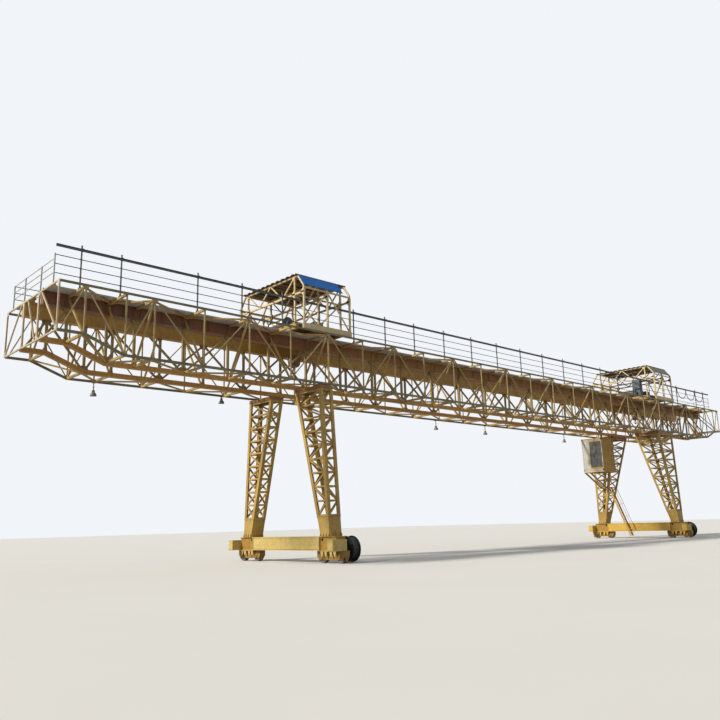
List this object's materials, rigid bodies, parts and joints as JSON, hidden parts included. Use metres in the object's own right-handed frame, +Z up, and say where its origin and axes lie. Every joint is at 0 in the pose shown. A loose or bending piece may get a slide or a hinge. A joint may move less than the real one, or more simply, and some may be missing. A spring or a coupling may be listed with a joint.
{
  "type": "gantry crane at half scale",
  "caption": "Double-girder lattice gantry crane on tapered lattice legs, with roofed trolleys that travel along the bridge and a cabin hung beside one leg; half-size model.",
  "frame": {"origin": "on the ground, at the centre of the crane's box: midway along the bridge and midway between its outermost points across it", "axes": "+X along the bridge from the near leg frame to the far one, +Y along the ground rails away from the cable reels, +Z up"},
  "size_m": [29.309, 4.13, 6.798],
  "materials": {
    "beam_near_paint": "faded red-brown paint",
    "beam_far_paint": "golden yellow-brown paint",
    "lattice_paint": "weathered yellow paint",
    "leg_paint": "weathered yellow paint",
    "cap_paint": "dark red primer",
    "ground_paint": "yellow paint, dusty",
    "saddle_paint": "dark yellow paint, oily",
    "bogie_paint": "dark brown, dusty",
    "wheel_steel": "worn steel",
    "deck_paint": "dusty plate",
    "railing_paint": "dark blue-grey paint",
    "thin_bar_paint": "light grey paint",
    "reel_paint": "dark teal paint",
    "cable_rubber": "black",
    "lamp_metal": "grey enamel",
    "cabin_paint": "yellow paint",
    "cabin_glazing": "dark tinted",
    "winch_paint": "blue-grey paint",
    "roof_sheet": "rusty corrugated sheet",
    "fascia_blue": "blue coated sheet",
    "fascia_grey": "grey coated sheet",
    "hook_paint": "red-brown paint"
  },
  "bodies": {
    "bridge": {"rail_beam_near": "beam_near_paint", "rail_beam_far": "beam_far_paint", "main_truss_near": "lattice_paint", "main_truss_far": "lattice_paint", "outer_truss_near": "lattice_paint", "outer_truss_far": "lattice_paint", "top_bracing_near": "lattice_paint", "top_bracing_far": "lattice_paint", "bottom_bracing_near": "lattice_paint", "bottom_bracing_far": "lattice_paint", "cross_frames": "lattice_paint", "end_frames": "thin_bar_paint", "walkway_near": "deck_paint", "walkway_far": "deck_paint", "railing_near": "railing_paint", "railing_far": "railing_paint", "end_railings": "thin_bar_paint", "cable_track": "railing_paint", "cable_loops": "cable_rubber", "floodlights": "lamp_metal", "near_leg_right": "leg_paint", "near_leg_left": "leg_paint", "far_leg_right": "leg_paint", "far_leg_left": "leg_paint", "leg_feet": "leg_paint", "leg_caps": "cap_paint", "ground_beam_near": "ground_paint", "ground_beam_far": "ground_paint", "saddles": "saddle_paint", "bogies": "bogie_paint", "travel_wheels": "wheel_steel", "drive_housings": "ground_paint", "cable_reels": "reel_paint", "cabin_shell": "cabin_paint", "cabin_roof": "cabin_paint", "cabin_glass": "cabin_glazing", "cabin_platform": "cabin_paint", "cabin_ladder": "cabin_paint"},
    "trolley_1": {"trolley_1_frame": "lattice_paint", "trolley_1_wheels": "wheel_steel", "trolley_1_winch": "winch_paint", "trolley_1_shelter": "lattice_paint", "trolley_1_roof": "roof_sheet", "trolley_1_fascia": "fascia_blue", "trolley_1_hook_block": "hook_paint"},
    "trolley_2": {"trolley_2_frame": "lattice_paint", "trolley_2_wheels": "wheel_steel", "trolley_2_winch": "winch_paint", "trolley_2_shelter": "lattice_paint", "trolley_2_roof": "roof_sheet", "trolley_2_fascia": "fascia_grey", "trolley_2_hook_block": "hook_paint"}
  },
  "joints": [
    {"name": "trolley_1_travel", "type": "slide", "parent": "bridge", "child": "trolley_1", "axis": [1, 0, 0], "range_m": [-5.3, 8]},
    {"name": "trolley_2_travel", "type": "slide", "parent": "bridge", "child": "trolley_2", "axis": [1, 0, 0], "range_m": [-8, 3.7]}
  ]
}
